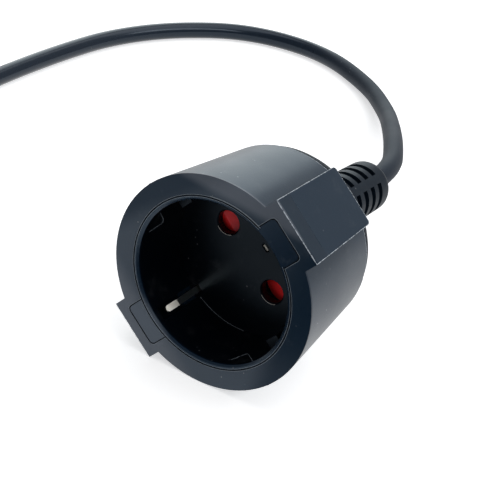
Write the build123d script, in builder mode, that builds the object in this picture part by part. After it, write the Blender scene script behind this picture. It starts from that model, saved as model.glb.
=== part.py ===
"""Power adapter cable: a moulded safety socket on a round flex, with a three-blade plug on its far end.

Millimetres, +Z up. The socket lies on the floor with its mouth towards -Y. It stands on the rim of its
mouth and on one edge of its lower lug, so its two lugs lean over to +X. The origin is on the floor, under
the socket's axis, midway between its mouth and the end of its strain relief.

"Depth" is the distance from the mouth into the socket, along its axis. "Across" is the direction of the
line through the two pin holes, and "up the lug" is the direction of the upper lug.
"""

import os
from math import acos, atan2, cos, degrees, hypot, pi, radians, sin, tan

from build123d import *

os.makedirs("parts", exist_ok=True)

# How far a cut runs past the face that it starts from
cut_margin = 0.1

# Socket housing
mouth_radius = 26.0
mouth_wall = 5.0
body_taper = 3.1
back_wall = 7.8
body_edge_round = 0.3
dome_step = 0.5
dome_drop = 4.2
dome_wall = 7.7
lug_rise = 2.4
upper_lug_width = 16.0
lower_lug_width = 14.8
lug_back_width = 15.0
lug_length = 24.6
lug_back_corner = 0.9
lug_edge_round = 0.2

# Strain relief of the socket
relief_root_wall = 0.7
relief_length = 38.7
relief_root_radius = 7.5
relief_end_radius = 6.8
relief_end_round = 2.6
relief_droop = 3.3
relief_core_radius = 3.9
relief_slot_width = 2.0
relief_slot_pitch = 4.0
relief_slot_rows = 7
relief_slot_end_margin = 6.6
relief_web_angle = 21.0

# Insert: the harder moulding that forms the well
seam_gap = 0.15
well_wall = 1.15
well_depth = 16.8
well_lead_in = 0.45
floor_thickness = 2.0
tongue_half_width = 5.1
tongue_inset = 3.0
tongue_depth = 12.0
tongue_corner = 1.0
pin_spacing = 19.0
pin_hole_radius = 2.9
pin_hole_lead_in = 0.3
rib_height = 2.0
rib_width = 3.4
rib_start_depth = 7.9
tab_slot_length = 2.4
tab_slot_width = 1.2
tab_slot_place = 5.4

# Safety shutter and its return spring
shutter_gap = 0.2
shutter_space = 4.5
shutter_side_room = 2.0
post_radius = 1.9
post_running_gap = 0.08
hub_radius = 2.8
hub_length = 3.5
pad_radius = 3.7
pad_thickness = 2.8
neck_width = 3.6
neck_thickness = 1.6
ridge_place = -1.5
ramp_drop = 2.2
small_ramp_drop = 0.7
spring_wire_radius = 0.25
spring_wire_sides = 6
spring_gap = 0.25
spring_turns = 2
spring_pitch = 0.6
spring_anchor_length = 2.4
spring_leg_length = 10.5
spring_leg_gap = 0.05

# Contact carrier, behind the shutter
carrier_thickness = 3.0
barrel_radius = 4.4
barrel_wall = 0.6
barrel_room = 3.1
wire_space = 1.9
wire_space_edge = 0.3

# Contacts
contact_outer_radius = 3.25
contact_bore_radius = 2.45
contact_front_gap = 0.4
contact_length = 11.0
contact_back_wall = 0.8
contact_slit = 0.8
contact_slit_length = 8.5
contact_fit = 0.1
contact_tail_width = 2.6
contact_tail_thickness = 2.0
contact_tail_place = 4.1
window_clearance = 0.2
strap_front_gap = 0.1
strap_width = 5.0
strap_thickness = 0.5
strap_tab_width = 1.6
strap_tab_recess = 0.4
strap_tab_offset = 0.25
finger_width = 1.6
finger_tip_round = 0.7
finger_well_gap = 0.95
finger_bow = 1.4
finger_bow_depth = 6.6
finger_tip_depth = 3.4
finger_groove_width = 3.4
finger_groove_start = 2.0
finger_groove_reach = 0.6
finger_slot_clearance = 0.4
earth_tail_width = 2.4
earth_tail_place = 7.0
earth_tail_length = 6.5

# Flex and its cores
flex_radius = 2.9
core_radius = 1.1
core_place = 2.7
core_lay_radius = 1.5
core_straight = 1.6
core_bend_radius = 2.0
first_run = 14.0
flex_points = [
    (-10.5, 75.2, 19.2),
    (-23.0, 100.7, 12.2),
    (-35.5, 124.2, 5.6),
    (-53.0, 145.7, flex_radius),
    (-79.5, 160.2, flex_radius),
    (-108.5, 155.7, flex_radius),
    (-127.5, 135.2, flex_radius),
    (-138.0, 110.2, flex_radius),
    (-140.5, 82.2, flex_radius),
    (-140.5, 52.7, flex_radius),
    (-138.5, 25.7, flex_radius),
    (-147.0, -2.3, flex_radius),
    (-170.0, -23.3, flex_radius),
    (-200.0, -21.3, flex_radius),
    (-219.0, -0.3, flex_radius),
    (-224.5, 23.7, 4.8),
]
plug_across = -225.0
plug_entry_y = 60.7
plug_entry_run = 17.0

# Cable plug on the far end
plug_width = 27.6
plug_height = 20.4
plug_wide_length = 22.0
plug_body_length = 40.0
plug_back_width = 19.0
plug_back_height = 16.0
plug_corner = 2.6
plug_cavity_width = 24.4
plug_cavity_height = 16.6
plug_cavity_corner = 4.6
plug_cavity_depth = 16.5
plug_insert_gap = 0.1
plug_insert_thickness = 6.0
plug_chamber_width = 19.0
plug_chamber_height = 11.0
plug_chamber_end = 33.0
grip_rib_count = 4
grip_rib_pitch = 3.2
grip_rib_height = 0.5
grip_rib_width = 1.4
blade_width = 2.0
blade_height = 4.0
blade_spacing = 7.0
blade_offset = 2.0
blade_length = 13.7
blade_tail = 5.0
blade_tip_bevel = 0.5
plug_relief_length = 26.0
plug_relief_root_radius = 6.2
plug_relief_end_radius = 4.7
plug_relief_core_radius = 3.7
plug_relief_slot_rows = 4
plug_relief_end_round = 1.2

# Sizes of the socket that follow from these
lug_height = mouth_radius + lug_rise
seam_radius = mouth_radius - mouth_wall
insert_radius = seam_radius - seam_gap
well_radius = seam_radius - well_wall
tongue_height = lug_height - tongue_inset
pin_place = pin_spacing / 2
floor_back = well_depth + floor_thickness
insert_length = floor_back + shutter_space
shutter_front = floor_back + shutter_gap
shutter_chamber_radius = pin_place + pad_radius + shutter_side_room
carrier_back = insert_length + carrier_thickness
contact_front = insert_length + contact_front_gap
contact_end = contact_front + contact_length
barrel_end = contact_end + contact_fit + barrel_wall
chamber_front_radius = pin_place + barrel_radius + barrel_room
chamber_end_radius = pin_place + barrel_radius + wire_space_edge
chamber_end_depth = barrel_end + wire_space
body_length = insert_length + back_wall
body_back_radius = mouth_radius - body_taper
dome_end_depth = chamber_end_depth + dome_wall
relief_start_depth = chamber_end_depth + relief_root_wall
strap_front = insert_length + strap_front_gap
strap_back = strap_front + strap_thickness
finger_root_place = well_radius - finger_well_gap
finger_bow_place = finger_root_place - finger_bow

# Where things stand. The lean is the one at which both the rim and the lower lug's edge touch the floor.
edge_across = lower_lug_width / 2 - lug_edge_round
edge_up = lug_height - lug_edge_round
edge_reach = hypot(edge_across, edge_up)
lean = atan2(edge_across, edge_up) + acos((mouth_radius - lug_edge_round) / edge_reach)
droop = radians(relief_droop)
relief_reach = relief_length * cos(droop) + (relief_end_radius - relief_end_round) * sin(droop)
mouth_y = -(relief_start_depth + relief_reach) / 2
across_dir = Vector(cos(lean), 0, -sin(lean))
lug_dir = Vector(sin(lean), 0, cos(lean))
mouth_centre = Vector(0, mouth_y, mouth_radius)
socket_axis = Axis(mouth_centre, (0, 1, 0))

mouth_plane = Plane(mouth_centre, x_dir=across_dir, z_dir=(0, -1, 0))
length_plane = Plane(mouth_centre, x_dir=(0, 1, 0), z_dir=across_dir)
lug_plane = Plane(mouth_centre, x_dir=across_dir, z_dir=lug_dir)


def at_depth(depth):
    """The plane across the socket's axis at a depth, facing out of the mouth."""
    return mouth_plane.offset(-depth)


def socket_point(across, up, depth):
    """A point of the socket, from its distances across, up the lug and into the mouth."""
    return mouth_centre + across_dir * across + lug_dir * up + Vector(0, depth, 0)


relief_dir = Vector(0, cos(droop), -sin(droop))
relief_root = socket_point(0, 0, relief_start_depth)
relief_plane = Plane(relief_root, x_dir=(1, 0, 0), z_dir=relief_dir)
flex_exit = relief_root + relief_dir * relief_length


def side_of(plane, turn=0):
    """A plane through the axis of another: its x runs out from the axis at a turn, its y along the axis."""
    spin = Axis((0, 0, 0), plane.z_dir)
    return Plane(plane.origin, x_dir=plane.x_dir.rotate(spin, turn), z_dir=-plane.y_dir.rotate(spin, turn))


def tapered_relief(plane, root_radius, end_radius, end_round, length):
    """A strain relief that stands on a plane and narrows to a rounded end."""
    with BuildPart() as relief:
        with BuildSketch(side_of(plane)):
            with BuildLine():
                Line((0, 0), (root_radius, 0))
                Line((root_radius, 0), (end_radius, length))
                Line((end_radius, length), (0, length))
                Line((0, length), (0, 0))
            outline = make_face()
            fillet(outline.vertices().sort_by(Axis.X)[-2:].sort_by(Axis.Y)[-1], end_round)
        revolve(axis=Axis(plane.origin, plane.z_dir))
    return relief.part


def relief_slots(plane, last_row, rows, inner_radius, outer_radius, web_turn):
    """Rows of four slots round a relief, with a web between each two, to cut from it."""
    slot_reach = outer_radius + cut_margin - inner_radius
    with BuildPart() as slots:
        for row in range(rows):
            for quarter in range(4):
                with BuildSketch(side_of(plane, web_turn + quarter * 90 + relief_web_angle / 2)):
                    with Locations((inner_radius + slot_reach / 2, last_row - row * relief_slot_pitch)):
                        Rectangle(slot_reach, relief_slot_width)
                revolve(axis=Axis(plane.origin, plane.z_dir), revolution_arc=90 - relief_web_angle)
    return slots.part


with BuildPart() as housing:
    # Outer form: the tapered drum, the domed back and the two lugs
    with BuildSketch(length_plane):
        with BuildLine():
            Line((0, 0), (0, mouth_radius))
            Line((0, mouth_radius), (body_length, body_back_radius))
            Line((body_length, body_back_radius), (body_length, body_back_radius - dome_step))
            ThreePointArc(
                (body_length, body_back_radius - dome_step),
                ((body_length + dome_end_depth) / 2, body_back_radius - dome_drop),
                (dome_end_depth, relief_root_radius),
            )
            Line((dome_end_depth, relief_root_radius), (dome_end_depth, 0))
            Line((dome_end_depth, 0), (0, 0))
        drum_outline = make_face()
        rear_corner = (body_length, body_back_radius, 0)
        fillet(drum_outline.vertices().sort_by_distance(rear_corner)[0], body_edge_round)
    revolve(axis=socket_axis)
    for side, front_width in ((1, upper_lug_width), (-1, lower_lug_width)):
        with BuildSketch(lug_plane):
            with BuildLine():
                Polyline(
                    (-front_width / 2, 0),
                    (front_width / 2, 0),
                    (lug_back_width / 2, lug_length),
                    (-lug_back_width / 2, lug_length),
                    close=True,
                )
            lug_outline = make_face()
            fillet(lug_outline.vertices().sort_by(Axis.Y)[-2:], lug_back_corner)
        extrude(amount=side * lug_height)
    lug_tops = [
        housing.faces().sort_by(Axis(mouth_centre, lug_dir))[-1],
        housing.faces().sort_by(Axis(mouth_centre, lug_dir))[0],
    ]
    fillet([edge for face in lug_tops for edge in face.edges()], lug_edge_round)
    # Strain relief, moulded in one piece with the housing
    add(tapered_relief(relief_plane, relief_root_radius, relief_end_radius, relief_end_round, relief_length))
    add(
        relief_slots(
            relief_plane,
            relief_length - relief_slot_end_margin,
            relief_slot_rows,
            relief_core_radius,
            relief_root_radius,
            degrees(lean),
        ),
        mode=Mode.SUBTRACT,
    )
    # Seat of the insert and its tongues, and the wire chamber behind the carrier
    with BuildSketch(mouth_plane):
        Circle(seam_radius)
    extrude(amount=-carrier_back, mode=Mode.SUBTRACT)
    with BuildSketch(mouth_plane):
        RectangleRounded(
            2 * (tongue_half_width + seam_gap), 2 * (tongue_height + seam_gap), tongue_corner + seam_gap
        )
    extrude(amount=-(tongue_depth + seam_gap), mode=Mode.SUBTRACT)
    with BuildSketch(length_plane):
        with BuildLine():
            Polyline(
                (insert_length, 0),
                (insert_length, chamber_front_radius),
                (carrier_back, chamber_front_radius),
                (chamber_end_depth, chamber_end_radius),
                (chamber_end_depth, 0),
                close=True,
            )
        make_face()
    revolve(axis=socket_axis, mode=Mode.SUBTRACT)
housing.part.label = "socket_housing"
export_step(housing.part, "parts/socket_housing.step")


with BuildPart() as insert:
    with BuildSketch(mouth_plane):
        Circle(insert_radius)
    extrude(amount=-insert_length)
    with BuildSketch(mouth_plane):
        RectangleRounded(2 * tongue_half_width, 2 * tongue_height, tongue_corner)
    extrude(amount=-tongue_depth)
    # Well, with its lead-in
    with BuildSketch(length_plane):
        with BuildLine():
            Polyline(
                (0, 0),
                (0, well_radius + well_lead_in),
                (well_lead_in, well_radius),
                (well_depth, well_radius),
                (well_depth, 0),
                close=True,
            )
        make_face()
    revolve(axis=socket_axis, mode=Mode.SUBTRACT)
    # Grooves in which the earth fingers lie, and the guide ribs on the line of the pins
    with BuildSketch(at_depth(finger_groove_start)):
        Rectangle(finger_groove_width, 2 * (seam_radius + finger_groove_reach))
    extrude(amount=-(well_depth - finger_groove_start), mode=Mode.SUBTRACT)
    with BuildSketch(at_depth(rib_start_depth)):
        with Locations((well_radius, 0), (-well_radius, 0)):
            Rectangle(2 * rib_height, rib_width)
        Circle(insert_radius, mode=Mode.INTERSECT)
    extrude(amount=-(well_depth - rib_start_depth))
    # Shutter chamber behind the floor
    with BuildSketch(at_depth(floor_back)):
        Circle(shutter_chamber_radius)
    extrude(amount=-(insert_length - floor_back), mode=Mode.SUBTRACT)
    # Openings in the floor
    with BuildSketch(at_depth(well_depth)):
        with Locations((pin_place, 0), (-pin_place, 0)):
            Circle(pin_hole_radius)
        with Locations((0, tab_slot_place)):
            SlotOverall(tab_slot_length, tab_slot_width)
        with Locations((0, finger_root_place), (0, -finger_root_place)):
            Rectangle(finger_width + finger_slot_clearance, strap_thickness + 2 * finger_slot_clearance)
    extrude(amount=-(insert_length - well_depth), mode=Mode.SUBTRACT)
    circles = insert.edges().filter_by(GeomType.CIRCLE)
    pin_rims = circles.filter_by(lambda edge: round(edge.radius - pin_hole_radius, 3) == 0)
    chamfer(pin_rims.sort_by(Axis.Y)[:2], pin_hole_lead_in)
    # Pivot post of the shutter
    with BuildSketch(at_depth(floor_back)):
        Circle(post_radius)
    extrude(amount=-(shutter_gap + hub_length))
insert.part.label = "socket_insert"
export_step(insert.part, "parts/socket_insert.step")


with BuildPart() as shutter:
    with BuildSketch(at_depth(shutter_front)):
        Circle(hub_radius)
    extrude(amount=-hub_length)
    with BuildSketch(at_depth(shutter_front)):
        Rectangle(pin_spacing, neck_width)
    extrude(amount=-neck_thickness)
    with BuildSketch(at_depth(shutter_front)):
        with Locations((pin_place, 0), (-pin_place, 0)):
            Circle(pad_radius)
    extrude(amount=-pad_thickness)
    # Each pad is a roof with a wide ramp on one side, which a pin pushes sideways
    pad_reach = pad_radius + cut_margin
    for side in (-1, 1):
        with BuildSketch(length_plane.offset(side * (pin_place - pad_reach))):
            for edge_place, drop in ((pad_reach, ramp_drop), (-pad_reach, small_ramp_drop)):
                with BuildLine():
                    Polyline(
                        (shutter_front - cut_margin, -side * ridge_place),
                        (shutter_front, -side * ridge_place),
                        (shutter_front + drop, -side * edge_place),
                        (shutter_front - cut_margin, -side * edge_place),
                        close=True,
                    )
                make_face()
        extrude(amount=side * 2 * pad_reach, mode=Mode.SUBTRACT)
    with BuildSketch(at_depth(shutter_front)):
        Circle(post_radius + post_running_gap)
    extrude(amount=-hub_length, mode=Mode.SUBTRACT)
shutter.part.label = "safety_shutter"
export_step(shutter.part, "parts/safety_shutter.step")


# Return spring: a loose coil round the hub. One end is anchored in the carrier, and the other end is
# a leg along the edge of a pad.
spring_radius = pad_radius + spring_leg_gap + spring_wire_radius
spring_front = shutter_front + neck_thickness + spring_gap + spring_wire_radius
spring_height = spring_turns * spring_pitch
spring_back = spring_front + spring_height
with BuildPart() as coil:
    # Half turns, each a tilted arc that starts and ends level, then a level quarter turn into the leg
    with BuildLine() as coil_line:
        rise = spring_pitch / 2
        arc_radius = hypot(spring_radius, rise / 2)
        for half_turn in range(2 * spring_turns):
            side = 1 - 2 * (half_turn % 2)
            low = half_turn * rise
            ThreePointArc(
                (side * spring_radius, 0, low),
                (0, -side * arc_radius, low + rise / 2),
                (-side * spring_radius, 0, low + rise),
            )
        RadiusArc((spring_radius, 0, spring_height), (0, -spring_radius, spring_height), spring_radius)
        Line((0, -spring_radius, spring_height), (-spring_leg_length, -spring_radius, spring_height))
    with BuildSketch(Plane(coil_line.line @ 0, z_dir=coil_line.line % 0)):
        RegularPolygon(spring_wire_radius, spring_wire_sides)
    sweep(path=coil_line.line)
    with BuildSketch(Plane(coil_line.line @ 0, z_dir=(0, 0, -1))):
        RegularPolygon(spring_wire_radius, spring_wire_sides)
    extrude(amount=spring_anchor_length)
spring = coil.part.moved(at_depth(spring_back).location)
spring.label = "shutter_spring"
export_step(spring, "parts/shutter_spring.step")


tail_front = contact_front + contact_tail_place
tail_back = tail_front + contact_tail_thickness

with BuildPart() as carrier:
    with BuildSketch(at_depth(insert_length)):
        Circle(insert_radius)
    extrude(amount=-carrier_thickness)
    with BuildSketch(at_depth(insert_length)):
        with Locations((pin_place, 0), (-pin_place, 0)):
            Circle(barrel_radius)
    extrude(amount=-(barrel_end - insert_length))
    # Bores of the contacts, closed at the back
    with BuildSketch(at_depth(insert_length)):
        with Locations((pin_place, 0), (-pin_place, 0)):
            Circle(contact_outer_radius + contact_fit)
    extrude(amount=-(contact_end + contact_fit - insert_length), mode=Mode.SUBTRACT)
    # Windows through which the contacts' tails reach the cores
    with BuildSketch(at_depth(tail_front - window_clearance)):
        with Locations((pin_place - barrel_radius, 0), (barrel_radius - pin_place, 0)):
            Rectangle(2 * (barrel_radius - contact_bore_radius), contact_tail_width + 2 * window_clearance)
    extrude(amount=-(contact_tail_thickness + 2 * window_clearance), mode=Mode.SUBTRACT)
    # Groove of the earth strap, the slot of its tail and the hole of the spring's anchor
    with BuildSketch(at_depth(insert_length)):
        Rectangle(strap_width + 2 * contact_fit, 2 * (finger_root_place + strap_thickness))
    extrude(amount=-(strap_back - insert_length), mode=Mode.SUBTRACT)
    with BuildSketch(at_depth(insert_length)):
        with Locations((0, earth_tail_place)):
            Rectangle(earth_tail_width + 2 * window_clearance, strap_thickness + 2 * window_clearance)
    extrude(amount=-carrier_thickness, mode=Mode.SUBTRACT)
    with BuildSketch(at_depth(insert_length)):
        with Locations((spring_radius, 0)):
            Circle(spring_wire_radius + contact_fit)
    extrude(amount=-(spring_back + spring_anchor_length + contact_fit - insert_length), mode=Mode.SUBTRACT)
carrier.part.label = "contact_carrier"
export_step(carrier.part, "parts/contact_carrier.step")


def pin_contact(side):
    """A slit brass sleeve that grips a pin, with a tail towards the middle for its core."""
    with BuildPart() as contact:
        with BuildSketch(at_depth(contact_front)):
            with Locations((side * pin_place, 0)):
                Circle(contact_outer_radius)
        extrude(amount=-contact_length)
        with BuildSketch(at_depth(tail_front)):
            tail_end = core_place - core_radius
            tail_reach = pin_place - contact_bore_radius - tail_end
            with Locations((side * (tail_end + tail_reach / 2), 0)):
                Rectangle(tail_reach, contact_tail_width)
        extrude(amount=-contact_tail_thickness)
        with BuildSketch(at_depth(contact_front)):
            with Locations((side * pin_place, 0)):
                Circle(contact_bore_radius)
        extrude(amount=-(contact_length - contact_back_wall), mode=Mode.SUBTRACT)
        with BuildSketch(at_depth(contact_front)):
            with Locations((side * pin_place, 0)):
                Rectangle(contact_slit, 2 * (contact_outer_radius + cut_margin))
        extrude(amount=-contact_slit_length, mode=Mode.SUBTRACT)
    return contact.part


for side, name in ((-1, "live_contact"), (1, "neutral_contact")):
    pin_contact_part = pin_contact(side)
    pin_contact_part.label = name
    export_step(pin_contact_part, f"parts/{name}.step")


def earth_finger(side):
    """A sprung finger, bowed in towards the well and turned out again at its rounded tip."""
    half = strap_thickness / 2
    with BuildPart() as finger:
        with BuildSketch(length_plane):
            with BuildLine():
                Polyline(
                    (strap_back, side * (finger_root_place + half)),
                    (well_depth, side * (finger_root_place + half)),
                    (finger_bow_depth, side * (finger_bow_place + half)),
                    (finger_tip_depth, side * (finger_root_place + half)),
                    (finger_tip_depth, side * (finger_root_place - half)),
                    (finger_bow_depth, side * (finger_bow_place - half)),
                    (well_depth, side * (finger_root_place - half)),
                    (strap_back, side * (finger_root_place - half)),
                    close=True,
                )
            make_face()
        extrude(amount=finger_width / 2, both=True)
        upright_edges = finger.edges().filter_by(Axis((0, 0, 0), lug_dir))
        fillet(upright_edges.sort_by(Axis.Y)[:2], finger_tip_round)
    return finger.part


with BuildPart() as earth:
    with BuildSketch(at_depth(strap_front)):
        Rectangle(strap_width, 2 * finger_root_place)
    extrude(amount=-strap_thickness)
    for side in (1, -1):
        add(earth_finger(side))
    # Tab that stands in the slot of the well's floor
    with BuildSketch(at_depth(well_depth + strap_tab_recess)):
        with Locations((0, tab_slot_place - strap_tab_offset)):
            Rectangle(strap_tab_width, strap_thickness)
    extrude(amount=-(strap_back - well_depth - strap_tab_recess))
    # Tail that takes the earth core
    with BuildSketch(at_depth(strap_front)):
        with Locations((0, earth_tail_place)):
            Rectangle(earth_tail_width, strap_thickness)
    extrude(amount=-(strap_thickness + earth_tail_length))
earth.part.label = "earth_strap"
export_step(earth.part, "parts/earth_strap.step")


def round_wire(points, radii, radius):
    """A round wire along straight runs joined by tangent arcs."""
    with BuildPart() as wire:
        with BuildLine() as route:
            FilletPolyline(*points, radius=radii)
        with BuildSketch(Plane(route.line @ 0, z_dir=route.line % 0)):
            Circle(radius)
        sweep(path=route.line)
    return wire.part


def export_core(name, points):
    """Write one insulated core, from its contact to where the cores enter the moulding."""
    core = round_wire(points, [core_bend_radius] * (len(points) - 2), core_radius)
    core.label = name
    export_step(core, f"parts/{name}.step")


lay_turn = radians(30)
lay_across = core_lay_radius * cos(lay_turn)
lay_down = -core_lay_radius * sin(lay_turn)
earth_tail_end = strap_back + earth_tail_length
for side, name in ((-1, "live_core"), (1, "neutral_core")):
    export_core(
        name,
        [
            socket_point(side * core_place, 0, tail_back),
            socket_point(side * core_place, 0, tail_back + core_straight),
            socket_point(side * lay_across, lay_down, chamber_end_depth - core_straight),
            socket_point(side * lay_across, lay_down, chamber_end_depth),
        ],
    )
export_core(
    "earth_core",
    [
        socket_point(0, earth_tail_place, earth_tail_end),
        socket_point(0, earth_tail_place, earth_tail_end + core_straight),
        socket_point(0, core_lay_radius, chamber_end_depth - core_straight),
        socket_point(0, core_lay_radius, chamber_end_depth),
    ],
)


# Free flex. Each arc is as large as its two runs allow.
plug_axis_height = plug_height / 2
flex_end = Vector(plug_across, plug_entry_y, plug_axis_height)
route_points = [flex_exit, flex_exit + relief_dir * first_run]
route_points += [Vector(*point) for point in flex_points]
route_points += [flex_end - Vector(0, plug_entry_run, 0), flex_end]


def corner_radii(points):
    """For each corner, 0.45 of its shorter run over the tangent of half its turn."""
    radii = []
    for before, here, after in zip(points, points[1:], points[2:]):
        run_in = here - before
        run_out = after - here
        half_turn = radians(run_in.get_angle(run_out)) / 2
        radii.append(0.45 * min(run_in.length, run_out.length) / tan(half_turn))
    return radii


flex_radii = corner_radii(route_points)
print("flex radii in mm:", ", ".join(f"{radius:.0f}" for radius in flex_radii))
flex = round_wire(route_points, flex_radii, flex_radius)
print(f"flex length in mm: {flex.volume / (pi * flex_radius**2):.1f}")
flex.label = "flex_cord"
export_step(flex, "parts/flex_cord.step")


# Cable plug. Its own depth runs from its open face back to the flex.
plug_face_y = plug_entry_y + plug_relief_length + plug_body_length
plug_plane = Plane((plug_across, plug_face_y, plug_axis_height), x_dir=(-1, 0, 0), z_dir=(0, 1, 0))
plug_side_plane = Plane(plug_plane.origin, x_dir=(0, 0, 1), z_dir=(1, 0, 0))


def plug_depth(depth):
    """The plane across the plug's axis at a depth, facing out of its open face."""
    return plug_plane.offset(-depth)


def cavity_outline(gap):
    """The cavity's outline, less a gap all round: a rectangle with its two upper corners cut off."""
    half_width = plug_cavity_width / 2 - gap
    half_height = plug_cavity_height / 2 - gap
    cut = plug_cavity_corner - gap / 2
    return [
        (-half_width, -half_height),
        (half_width, -half_height),
        (half_width, half_height - cut),
        (half_width - cut, half_height),
        (cut - half_width, half_height),
        (-half_width, half_height - cut),
    ]


plug_insert_back = plug_cavity_depth + plug_insert_thickness
plug_relief_plane = Plane(
    (plug_across, plug_entry_y + plug_relief_length, plug_axis_height), x_dir=(1, 0, 0), z_dir=(0, -1, 0)
)
with BuildPart() as plug:
    # Straight front, then a loft that narrows to the strain relief
    with BuildSketch(plug_plane):
        RectangleRounded(plug_width, plug_height, plug_corner)
    extrude(amount=-plug_wide_length)
    with BuildSketch(plug_depth(plug_wide_length)):
        RectangleRounded(plug_width, plug_height, plug_corner)
    with BuildSketch(plug_depth(plug_body_length)):
        RectangleRounded(plug_back_width, plug_back_height, plug_corner)
    loft()
    add(
        tapered_relief(
            plug_relief_plane,
            plug_relief_root_radius,
            plug_relief_end_radius,
            plug_relief_end_round,
            plug_relief_length,
        )
    )
    add(
        relief_slots(
            plug_relief_plane,
            plug_relief_length - relief_slot_end_margin,
            plug_relief_slot_rows,
            plug_relief_core_radius,
            plug_relief_root_radius,
            0,
        ),
        mode=Mode.SUBTRACT,
    )
    # Grip ribs on both narrow sides
    with BuildSketch(plug_side_plane):
        first_rib = plug_wide_length - grip_rib_count * grip_rib_pitch
        for rib in range(grip_rib_count):
            with Locations((0, first_rib + rib * grip_rib_pitch)):
                Rectangle(plug_height - 2 * plug_corner, grip_rib_width)
    extrude(amount=plug_width / 2 + grip_rib_height, both=True)
    # Cavity for the blades and the chamber behind the blade carrier
    with BuildSketch(plug_plane):
        with BuildLine():
            Polyline(*cavity_outline(0), close=True)
        make_face()
    extrude(amount=-plug_insert_back, mode=Mode.SUBTRACT)
    with BuildSketch(plug_depth(plug_insert_back)):
        Rectangle(plug_chamber_width, plug_chamber_height)
    extrude(amount=-(plug_chamber_end - plug_insert_back), mode=Mode.SUBTRACT)
plug.part.label = "plug_housing"
export_step(plug.part, "parts/plug_housing.step")


blade_places = {
    "plug_live_blade": (-blade_spacing, -blade_offset),
    "plug_earth_blade": (0, blade_offset),
    "plug_neutral_blade": (blade_spacing, -blade_offset),
}
with BuildPart() as blade_block:
    with BuildSketch(plug_depth(plug_cavity_depth)):
        with BuildLine():
            Polyline(*cavity_outline(plug_insert_gap), close=True)
        make_face()
        with Locations(*blade_places.values()):
            Rectangle(blade_width, blade_height, mode=Mode.SUBTRACT)
    extrude(amount=-plug_insert_thickness)
blade_block.part.label = "plug_blade_carrier"
export_step(blade_block.part, "parts/plug_blade_carrier.step")

blade_tail_end = plug_insert_back + blade_tail
for name, (blade_across, blade_up) in blade_places.items():
    with BuildPart() as blade:
        with BuildSketch(plug_depth(plug_cavity_depth - blade_length)):
            with Locations((blade_across, blade_up)):
                Rectangle(blade_width, blade_height)
        extrude(amount=-(blade_tail_end - plug_cavity_depth + blade_length))
        chamfer(blade.faces().sort_by(Axis.Y)[-1].edges(), blade_tip_bevel)
    blade.part.label = name
    export_step(blade.part, f"parts/{name}.step")


def plug_point(across, up, depth):
    """A point of the plug, from its distances across, up and in from its open face."""
    return Vector(plug_across - across, plug_face_y - depth, plug_axis_height + up)


lay_places = {
    "plug_live_blade": (-lay_across, lay_down),
    "plug_earth_blade": (0, core_lay_radius),
    "plug_neutral_blade": (lay_across, lay_down),
}
for name, (blade_across, blade_up) in blade_places.items():
    end_across, end_up = lay_places[name]
    export_core(
        name.replace("blade", "core"),
        [
            plug_point(blade_across, blade_up, blade_tail_end),
            plug_point(blade_across, blade_up, blade_tail_end + core_straight),
            plug_point(end_across, end_up, plug_chamber_end - core_straight),
            plug_point(end_across, end_up, plug_chamber_end),
        ],
    )
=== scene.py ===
"""Studio scene of a power adapter cable: a round moulded safety socket on a black flex with a cable plug."""

import math

import bmesh
import bpy
from mathutils import Matrix, Vector


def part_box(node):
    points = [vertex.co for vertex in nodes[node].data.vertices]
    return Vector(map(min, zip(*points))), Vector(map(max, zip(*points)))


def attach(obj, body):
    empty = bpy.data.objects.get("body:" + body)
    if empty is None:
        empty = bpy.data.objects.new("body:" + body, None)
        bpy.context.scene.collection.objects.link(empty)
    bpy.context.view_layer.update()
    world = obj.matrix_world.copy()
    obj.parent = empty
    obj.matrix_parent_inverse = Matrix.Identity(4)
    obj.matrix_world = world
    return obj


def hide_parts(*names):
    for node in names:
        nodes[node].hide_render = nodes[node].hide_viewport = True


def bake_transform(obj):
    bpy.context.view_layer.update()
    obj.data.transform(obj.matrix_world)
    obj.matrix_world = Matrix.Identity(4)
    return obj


bl_info = {
    "name": "Power Adapter Cable",
    "version": (1, 0, 0),
    "blender": (4, 5, 0),
    "location": "View3D > Sidebar > Adapter Cable",
    "description": "Finishes a moulded trailing socket, its flex and its cable plug, and sets a plain studio",
    "category": "Object",
}

MM = 0.001

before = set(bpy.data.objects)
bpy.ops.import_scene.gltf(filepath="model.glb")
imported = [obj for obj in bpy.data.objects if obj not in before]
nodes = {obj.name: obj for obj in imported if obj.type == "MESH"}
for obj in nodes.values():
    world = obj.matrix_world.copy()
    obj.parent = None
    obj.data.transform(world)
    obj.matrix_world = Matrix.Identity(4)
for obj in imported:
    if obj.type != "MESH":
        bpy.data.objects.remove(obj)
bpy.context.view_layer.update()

# The socket's own directions. It lies on its side, so its upper lug leans over to +X.
LEAN = math.radians(41.89)
MOUTH = Vector((0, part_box("socket_housing")[0].y, 26 * MM))
ACROSS = Vector((math.cos(LEAN), 0, -math.sin(LEAN)))
UP_THE_LUG = Vector((math.sin(LEAN), 0, math.cos(LEAN)))

# The control points of the flex's centre line, in millimetres, as the part's source has them
FLEX_ROUTE_MM = (
    (0.0, 38.197, 23.772),
    (0.0, 52.174, 22.966),
    (-10.5, 75.2, 19.2),
    (-23.0, 100.7, 12.2),
    (-35.5, 124.2, 5.6),
    (-53.0, 145.7, 2.9),
    (-79.5, 160.2, 2.9),
    (-108.5, 155.7, 2.9),
    (-127.5, 135.2, 2.9),
    (-138.0, 110.2, 2.9),
    (-140.5, 82.2, 2.9),
    (-140.5, 52.7, 2.9),
    (-138.5, 25.7, 2.9),
    (-147.0, -2.3, 2.9),
    (-170.0, -23.3, 2.9),
    (-200.0, -21.3, 2.9),
    (-219.0, -0.3, 2.9),
    (-224.5, 23.7, 4.8),
    (-225.0, 43.7, 10.2),
    (-225.0, 60.7, 10.2),
)


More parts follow.
